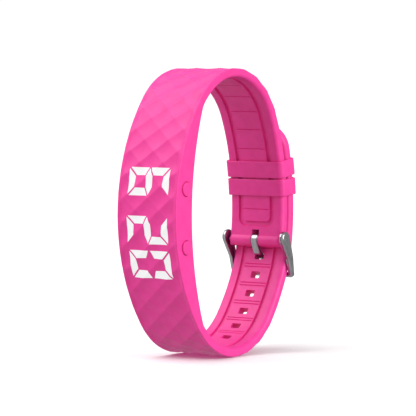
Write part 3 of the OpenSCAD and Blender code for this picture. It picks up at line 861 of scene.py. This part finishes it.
def lit_segments():
    m = surface("lit_white", (150, 150, 151), (144, 144, 146), 0.4, 0.0003, 0.03)
    shader = m.node_tree.nodes["Principled BSDF"]
    shader.inputs["Emission Color"].default_value = (1, 1, 1, 1)
    shader.inputs["Emission Strength"].default_value = 0.62
    return m


def steel():
    return surface("buckle_steel", (176, 176, 178), (152, 152, 155), 0.2, 0.00012, 0.12, 1.0, (6, 1, 1))


# How each carried-over CAD node is finished: node names, then colour, shade, roughness, grain, bump, metal.
FINISHES = {
    "moulded_case": (["case_front"], (214, 214, 209), (200, 200, 196), 0.45, 0.0003, 0.1, 0),
    "cover_plastic": (["rear_cover"], (44, 44, 48), (34, 34, 37), 0.5, 0.00018, 0.35, 0),
    "seal_rubber": (["cover_seal"], (26, 26, 27), (18, 18, 19), 0.7, 0.0002, 0.2, 0),
    "screw_steel": (["cover_screws"], (188, 188, 192), (160, 160, 165), 0.3, 0.00008, 0.2, 1),
    "black_plastic": (["light_mask", "switch_upper", "switch_lower"], (24, 24, 25), (16, 16, 17), 0.45,
                      0.0002, 0.15, 0),
    "board_laminate": (["circuit_board"], (20, 92, 50), (14, 74, 40), 0.3, 0.0004, 0.08, 0),
    "led_ceramic": (["display_leds"], (240, 234, 205), (226, 220, 190), 0.3, 0.0001, 0.05, 0),
    "chip_resin": (["microcontroller", "motion_sensor"], (32, 32, 34), (24, 24, 26), 0.55, 0.0001, 0.2, 0),
    "bright_steel": (["clock_crystal", "coin_cell", "spring_bar_tube", "spring_bar_spring",
                      "spring_bar_pin_left", "spring_bar_pin_right"], (206, 206, 210), (184, 184, 190), 0.22,
                     0.0001, 0.1, 1),
    "gold_plate": (["contact_positive", "contact_negative"], (222, 178, 96), (200, 156, 78), 0.25, 0.0001,
                   0.08, 1),
}


def paint(node, material):
    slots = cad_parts[node].data.materials
    slots.clear()
    slots.append(material)


def finish_cad_nodes():
    for name, (nodes, *finish) in FINISHES.items():
        m = surface(name, *finish)
        for node in nodes:
            paint(node, m)


# ---- camera, floor and light ----
AZIMUTH, ELEVATION, DISTANCE = math.radians(36.517), math.radians(3.017), 0.7
AIM = Vector((0, -0.0025, 0))   # the camera's lengths are in metres
AIM_RIGHT, AIM_UP = 0.000746, 0.001177
LENS, SENSOR = 219.2, 36
ROOM_SLOPE = (-0.08, -0.15, 0.0)            # the walls in front and on the left are brighter
ROOM_LIGHT = 0.61               # how strongly the room's white walls shine on the object
WALL_SEEN = 1.05                # how bright the walls look to the camera
FLOOR_HALF, FLOOR_DROP = 6.0, 0.0001        # metres


def camera():
    """Telephoto view from the front right, a little above the middle."""
    back = Vector((math.sin(AZIMUTH) * math.cos(ELEVATION), -math.cos(AZIMUTH) * math.cos(ELEVATION),
                   math.sin(ELEVATION)))
    right = Vector((math.cos(AZIMUTH), math.sin(AZIMUTH), 0))
    up = back.cross(right)
    data = bpy.data.cameras.new("camera")
    data.sensor_width, data.lens = SENSOR, LENS
    data.clip_start, data.clip_end = 0.01, 50
    cam = bpy.data.objects.new("camera", data)
    place = AIM + right * AIM_RIGHT + up * AIM_UP + back * DISTANCE
    cam.matrix_world = Matrix.Translation(place) @ Matrix((right, up, back)).transposed().to_4x4()
    bpy.context.scene.collection.objects.link(cam)
    bpy.context.scene.camera = cam


def sun(name, toward, strength, spread):
    """A soft distant light that shines from a direction."""
    data = bpy.data.lights.new(name, "SUN")
    data.energy, data.angle = strength, math.radians(spread)
    lamp = bpy.data.objects.new(name, data)
    lamp.rotation_euler = (-Vector(toward)).to_track_quat("-Z", "Y").to_euler()
    bpy.context.scene.collection.objects.link(lamp)


def room():
    """White walls that look bright to the camera and shine weakly on the object."""
    world = bpy.data.worlds.new("studio")
    world.use_nodes = True
    nt = world.node_tree
    background = nt.nodes["Background"]
    path = nt.nodes.new("ShaderNodeLightPath")
    level = nt.nodes.new("ShaderNodeMapRange")
    level.inputs["To Max"].default_value = WALL_SEEN
    coords, slope = nt.nodes.new("ShaderNodeTexCoord"), nt.nodes.new("ShaderNodeVectorMath")
    slope.operation = "DOT_PRODUCT"
    slope.inputs[1].default_value = ROOM_SLOPE
    nt.links.new(coords.outputs["Generated"], slope.inputs[0])
    walls = nt.nodes.new("ShaderNodeMath")
    walls.inputs[1].default_value = ROOM_LIGHT
    nt.links.new(slope.outputs["Value"], walls.inputs[0])
    nt.links.new(walls.outputs["Value"], level.inputs["To Min"])
    nt.links.new(path.outputs["Is Camera Ray"], level.inputs["Value"])
    nt.links.new(level.outputs["Result"], background.inputs["Strength"])
    background.inputs["Color"].default_value = (1, 1, 1, 1)
    bpy.context.scene.world = world


def pale_floor():
    """A plain floor just under the object. It takes shadows and isn't seen in reflections."""
    size, z = FLOOR_HALF, cad_box[0].z - FLOOR_DROP
    mesh = bpy.data.meshes.new("floor")
    mesh.from_pydata([(-size, -size, z), (size, -size, z), (size, size, z), (-size, size, z)], [],
                     [(0, 1, 2, 3)])
    floor = bpy.data.objects.new("floor", mesh)
    mesh.materials.append(surface("pale_floor", (250, 250, 250), (248, 248, 248), 0.7, 0.004, 0.02))
    bpy.context.scene.collection.objects.link(floor)
    floor.visible_diffuse = floor.visible_glossy = False


def studio():
    """A white room, two soft distant lights and a pale floor."""
    bpy.context.scene.view_settings.view_transform = "Standard"
    room()
    sun("side", (0.95, 0.12, 0.32), 2.35, 30)
    sun("overhead", (-0.4, -0.38, 0.85), 2.1, 60)
    pale_floor()


camera()
studio()
pink, steel_finish = silicone(), steel()
finish_piece(band_mesh(pink), "band_assembly", "silicone", "band")
keeper("keeper_loop_upper_skin", 9.5, "keeper_loop_upper", "keeper_upper", pink)
keeper("keeper_loop_lower_skin", 4.9, "keeper_loop_lower", "keeper_lower", pink)
buckle_frame(steel_finish)
tang(steel_finish)
button_cap("button_cap_upper", BUTTON_Z[0], "button_top", "button_upper", pink)
button_cap("button_cap_lower", BUTTON_Z[1], "button_bottom", "button_lower", pink)
lit_digits(lit_segments())
finish_cad_nodes()
